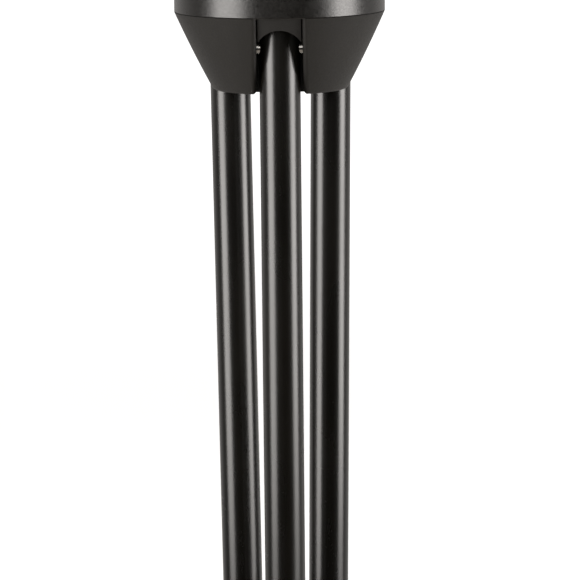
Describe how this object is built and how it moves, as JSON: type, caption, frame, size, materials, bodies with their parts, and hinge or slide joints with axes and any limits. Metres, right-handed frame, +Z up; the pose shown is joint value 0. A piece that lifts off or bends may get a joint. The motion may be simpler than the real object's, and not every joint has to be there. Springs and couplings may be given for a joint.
{
  "type": "folding trumpet stand",
  "caption": "Folding in-bell trumpet stand: a velour-covered peg on a round hub whose tubular legs hang folded from pins and swing outward to stand.",
  "frame": {"origin": "centre of the stand at floor level, with the legs folded down", "axes": "+Z up along the hub and peg; the front leg is on the -Y side, +X is to the viewer's right"},
  "size_m": [0.052, 0.052, 0.3135],
  "materials": {
    "hub_cap_plastic": "black glass-filled nylon, fine moulded grain, satin",
    "hub_base_plastic": "black glass-filled nylon, dead matt",
    "tube_paint": "black powder coat, satin",
    "pin_steel": "bright ground steel",
    "plug_nylon": "black nylon",
    "foot_rubber": "black moulded rubber",
    "peg_plastic": "black moulded plastic",
    "velour": "black velour with a short pile",
    "collar_plastic": "black satin plastic",
    "tip_plastic": "black grained plastic",
    "zinc_steel": "zinc-plated steel",
    "brass_insert": "turned brass"
  },
  "bodies": {
    "hub": {"hub_cap": "hub_cap_plastic", "hub_base": "hub_base_plastic", "central_bolt": "zinc_steel", "bolt_washer": "zinc_steel", "peg_core": "peg_plastic", "peg_cover": "velour", "peg_collar": "collar_plastic", "peg_tip": "tip_plastic", "peg_insert": "brass_insert", "hinge_pin_front": "pin_steel", "hinge_pin_right": "pin_steel", "hinge_pin_left": "pin_steel"},
    "leg_front": {"leg_tube_front": "tube_paint", "leg_plug_front": "plug_nylon", "foot_cap_front": "foot_rubber"},
    "leg_right": {"leg_tube_right": "tube_paint", "leg_plug_right": "plug_nylon", "foot_cap_right": "foot_rubber"},
    "leg_left": {"leg_tube_left": "tube_paint", "leg_plug_left": "plug_nylon", "foot_cap_left": "foot_rubber"}
  },
  "joints": [
    {"name": "leg_front_fold", "type": "hinge", "parent": "hub", "child": "leg_front", "pos_m": [0, -0.0146, 0.1637], "axis": [-1, 0, 0], "range_deg": [0, 55]},
    {"name": "leg_right_fold", "type": "hinge", "parent": "hub", "child": "leg_right", "pos_m": [0.01264, 0.0073, 0.1637], "axis": [0.5, -0.866, 0], "range_deg": [0, 55]},
    {"name": "leg_left_fold", "type": "hinge", "parent": "hub", "child": "leg_left", "pos_m": [-0.01264, 0.0073, 0.1637], "axis": [0.5, 0.866, 0], "range_deg": [0, 55]}
  ]
}
